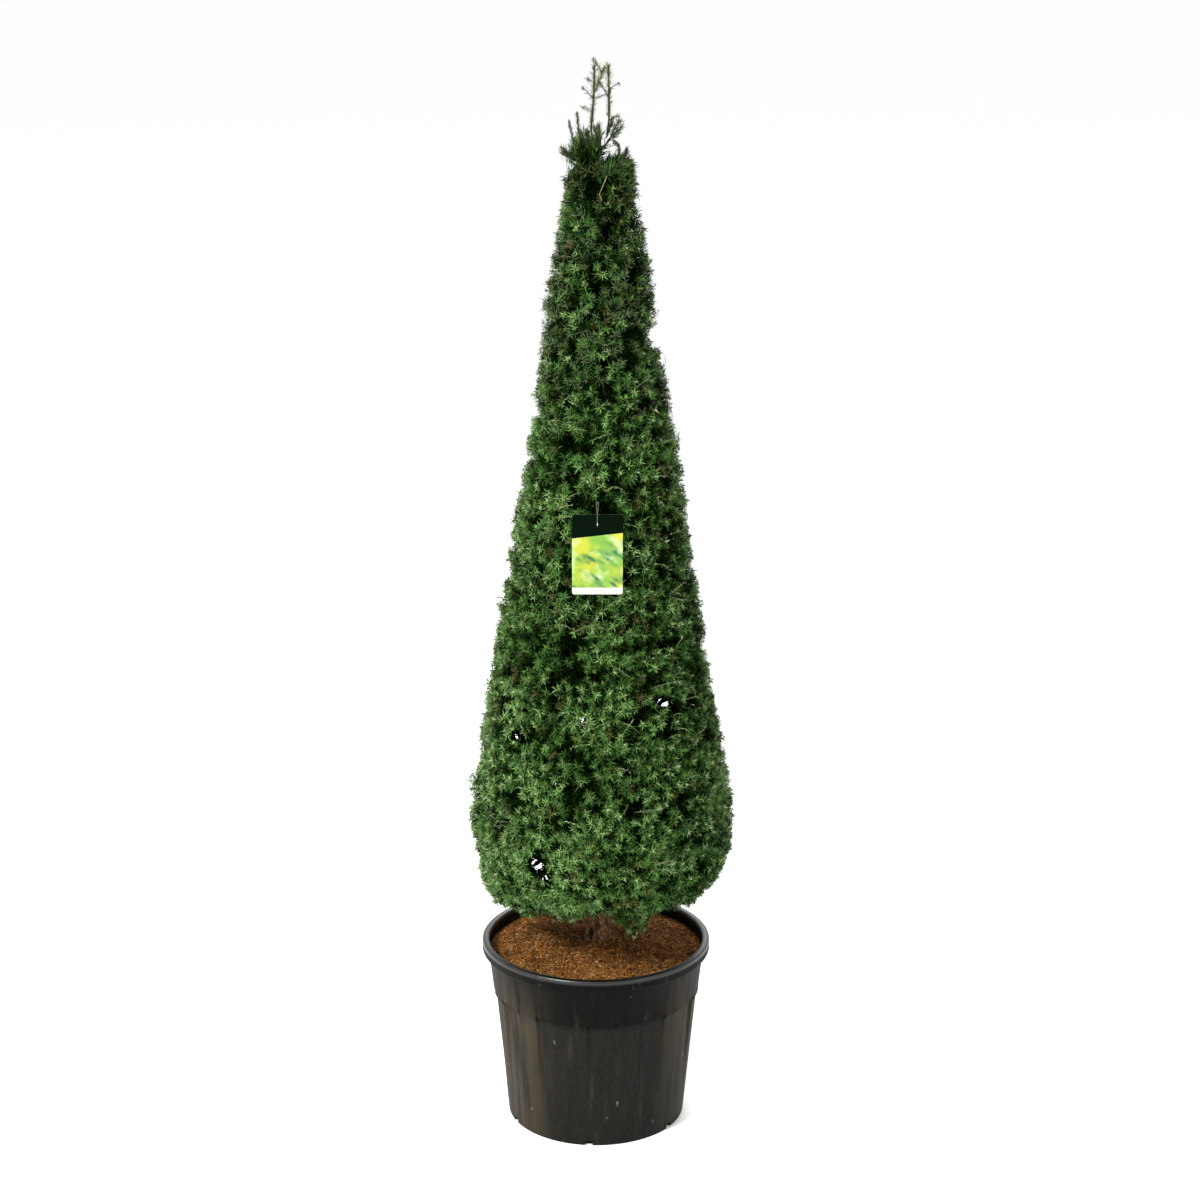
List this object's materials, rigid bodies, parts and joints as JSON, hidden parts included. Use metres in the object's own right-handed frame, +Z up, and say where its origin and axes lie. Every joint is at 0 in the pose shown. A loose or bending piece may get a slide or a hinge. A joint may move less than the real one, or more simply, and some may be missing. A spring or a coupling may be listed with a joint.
{
  "type": "potted topiary conifer",
  "caption": "Conifer clipped to a tall slim cone with uncut leading shoots at its top, standing in a black ribbed plastic nursery pot, with a printed card hung in its foliage.",
  "frame": {"origin": "centre of the pot's flat underside, on the ground", "axes": "+Z up along the trunk; -Y towards the viewer, the side that the card hangs on; +X to the viewer's right"},
  "size_m": [0.5252, 0.5233, 2.124],
  "materials": {
    "pot_plastic": "satin",
    "growing_medium": "matte",
    "bark": "matte",
    "needle_foliage": "matte",
    "leading_shoots": "matte",
    "printed_card": "satin",
    "white_tie": "satin"
  },
  "bodies": {
    "root": {"bough_1a": "bark", "bough_1b": "bark", "bough_1c": "bark", "bough_1d": "bark", "bough_1e": "bark", "bough_2a": "bark", "bough_2b": "bark", "bough_2c": "bark", "bough_2d": "bark", "bough_3a": "bark", "bough_3b": "bark", "bough_3c": "bark", "bough_3d": "bark", "bough_4a": "bark", "bough_4b": "bark", "bough_4c": "bark", "bough_4d": "bark", "bough_5a": "bark", "bough_5b": "bark", "bough_5c": "bark", "bough_6a": "bark", "bough_6b": "bark", "bough_6c": "bark", "foliage_1a": "needle_foliage", "foliage_1b": "needle_foliage", "foliage_1c": "needle_foliage", "foliage_1d": "needle_foliage", "foliage_1e": "needle_foliage", "foliage_2a": "needle_foliage", "foliage_2b": "needle_foliage", "foliage_2c": "needle_foliage", "foliage_2d": "needle_foliage", "foliage_3a": "needle_foliage", "foliage_3b": "needle_foliage", "foliage_3c": "needle_foliage", "foliage_3d": "needle_foliage", "foliage_4a": "needle_foliage", "foliage_4b": "needle_foliage", "foliage_4c": "needle_foliage", "foliage_4d": "needle_foliage", "foliage_5a": "needle_foliage", "foliage_5b": "needle_foliage", "foliage_5c": "needle_foliage", "foliage_6a": "needle_foliage", "foliage_6b": "needle_foliage", "foliage_6c": "needle_foliage", "foliage_7a": "needle_foliage", "foliage_7b": "needle_foliage", "label_card": "printed_card", "label_tie": "white_tie", "label_twig": "bark", "leader_left": "leading_shoots", "leader_right": "leading_shoots", "pot": "pot_plastic", "soil": "growing_medium", "trunk": "bark"}
  },
  "joints": []
}
